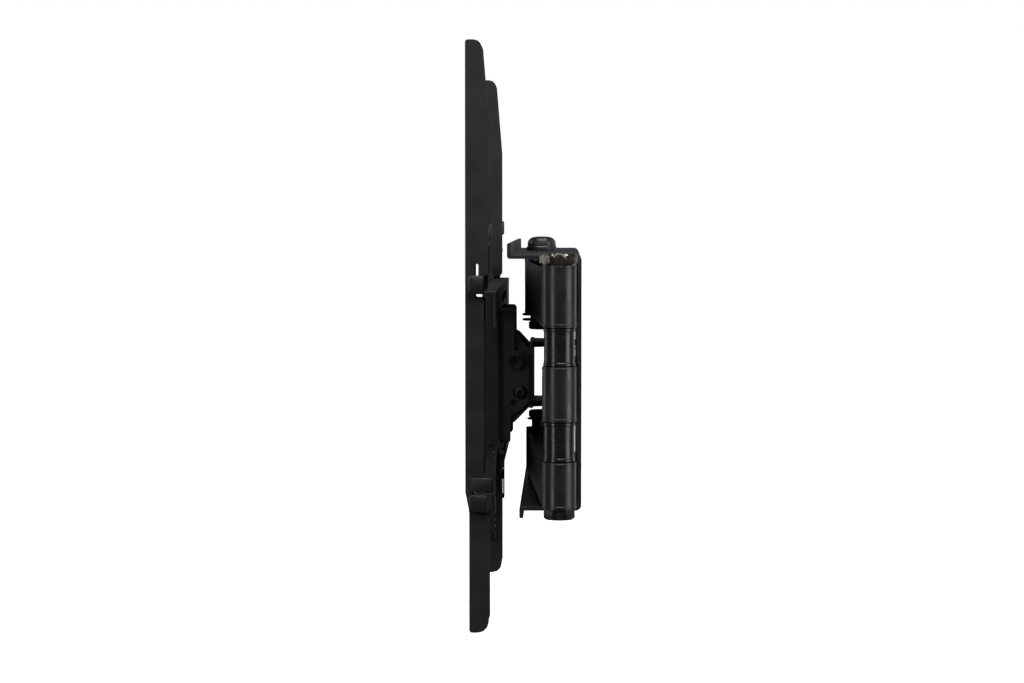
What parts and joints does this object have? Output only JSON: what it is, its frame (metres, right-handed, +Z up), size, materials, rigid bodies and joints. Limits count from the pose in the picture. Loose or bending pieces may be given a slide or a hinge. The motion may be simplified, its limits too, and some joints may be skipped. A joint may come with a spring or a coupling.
{
  "type": "full motion tv wall mount",
  "caption": "Full motion TV wall mount folded flat: channel wall plate, two-link swing arm, tilting head, two rails and hook-on brackets.",
  "frame": {"origin": "centre of the wall plate's back face, on the wall", "axes": "+Z up, +Y into the wall, so the television is on the -Y side, and +X to the elbow"},
  "size_m": [0.529, 0.0842, 0.439],
  "materials": {
    "black_paint": "satin black powder coat",
    "black_steel": "black oxide, slightly glossy",
    "black_plastic": "moulded, matte",
    "zinc": "bright zinc",
    "nylon": "matte"
  },
  "bodies": {
    "wall": {"wall_plate": "black_paint", "upper_pivot_bolt": "black_steel", "upper_pivot_cap": "black_plastic", "upper_pivot_nut": "black_plastic", "upper_pivot_bush": "nylon", "upper_pivot_washer": "black_steel", "upper_cone_washer": "black_steel", "lower_pivot_bolt": "black_steel", "lower_pivot_nut": "black_plastic", "lower_pivot_bush": "nylon", "lower_pivot_washer": "black_steel", "lower_pivot_sleeve": "zinc", "lower_cap_washer": "black_steel"},
    "wall_link": {"upper_arm": "black_paint", "lower_arm": "black_paint", "elbow_bolt": "black_steel", "elbow_nut": "zinc", "elbow_upper_sleeve": "black_plastic", "elbow_lower_sleeve": "black_plastic"},
    "tv_link": {"tv_arm": "black_paint"},
    "head_pin": {"head_pin": "black_steel", "head_pin_nut": "black_steel", "head_pin_washer": "nylon"},
    "yoke": {"yoke": "black_paint", "tilt_lock_bolt_right": "black_steel", "tilt_lock_bolt_left": "black_steel"},
    "tilt_head": {"tilt_frame": "black_paint", "tilt_bolt": "black_steel", "tilt_nut": "black_steel", "upper_rail": "black_paint", "lower_rail": "black_paint", "rail_bolt_upper_right": "black_steel", "rail_bolt_upper_left": "black_steel", "rail_bolt_lower_right": "black_steel", "rail_bolt_lower_left": "black_steel", "rail_cap_upper_right": "black_plastic", "rail_cap_upper_left": "black_plastic", "rail_cap_lower_right": "black_plastic", "rail_cap_lower_left": "black_plastic", "cable_clip": "black_plastic"},
    "screw_right": {"level_screw_right": "black_steel", "rail_shoe_right": "black_plastic"},
    "bracket_right": {"bracket_right": "black_paint"},
    "latch_right": {"latch_right": "black_plastic"},
    "screw_left": {"level_screw_left": "black_steel", "rail_shoe_left": "black_plastic"},
    "bracket_left": {"bracket_left": "black_paint"},
    "latch_left": {"latch_left": "black_plastic"}
  },
  "joints": [
    {"name": "extend", "type": "hinge", "parent": "wall", "child": "wall_link", "pos_m": [0, -0.0307, 0], "axis": [0, 0, -1], "range_deg": [0, 85]},
    {"name": "elbow_follow", "type": "hinge", "parent": "wall_link", "child": "tv_link", "pos_m": [0.286, -0.0159, 0], "axis": [0, 0, 1], "range_deg": [0, 170]},
    {"name": "head_follow", "type": "hinge", "parent": "tv_link", "child": "head_pin", "pos_m": [0, -0.016, 0], "axis": [0, 0, -1], "range_deg": [0, 85]},
    {"name": "pan", "type": "hinge", "parent": "head_pin", "child": "yoke", "pos_m": [0, -0.016, 0], "axis": [0, 0, 1], "range_deg": [-3, 3]},
    {"name": "tilt", "type": "hinge", "parent": "yoke", "child": "tilt_head", "pos_m": [0, -0.0496, 0.0068], "axis": [-1, 0, 0], "range_deg": [-5, 5]},
    {"name": "spacing_right", "type": "slide", "parent": "tilt_head", "child": "screw_right", "axis": [-1, 0, 0], "range_m": [0, 0.1]},
    {"name": "height_right", "type": "slide", "parent": "screw_right", "child": "bracket_right", "axis": [0, 0, 1], "range_m": [-0.0088, 0.0024]},
    {"name": "latch_pull_right", "type": "slide", "parent": "bracket_right", "child": "latch_right", "axis": [0, 0, -1], "range_m": [0, 0.01], "stiffness_N_per_m": 200, "springref_m": -0.005},
    {"name": "spacing_left", "type": "slide", "parent": "tilt_head", "child": "screw_left", "axis": [1, 0, 0], "range_m": [0, 0.1]},
    {"name": "height_left", "type": "slide", "parent": "screw_left", "child": "bracket_left", "axis": [0, 0, 1], "range_m": [0, 0.0112]},
    {"name": "latch_pull_left", "type": "slide", "parent": "bracket_left", "child": "latch_left", "axis": [0, 0, -1], "range_m": [0, 0.01], "stiffness_N_per_m": 200, "springref_m": -0.005}
  ],
  "couplings": [
    {"joint": "elbow_follow", "follows": "extend", "ratio": 2},
    {"joint": "head_follow", "follows": "extend", "ratio": 1}
  ]
}
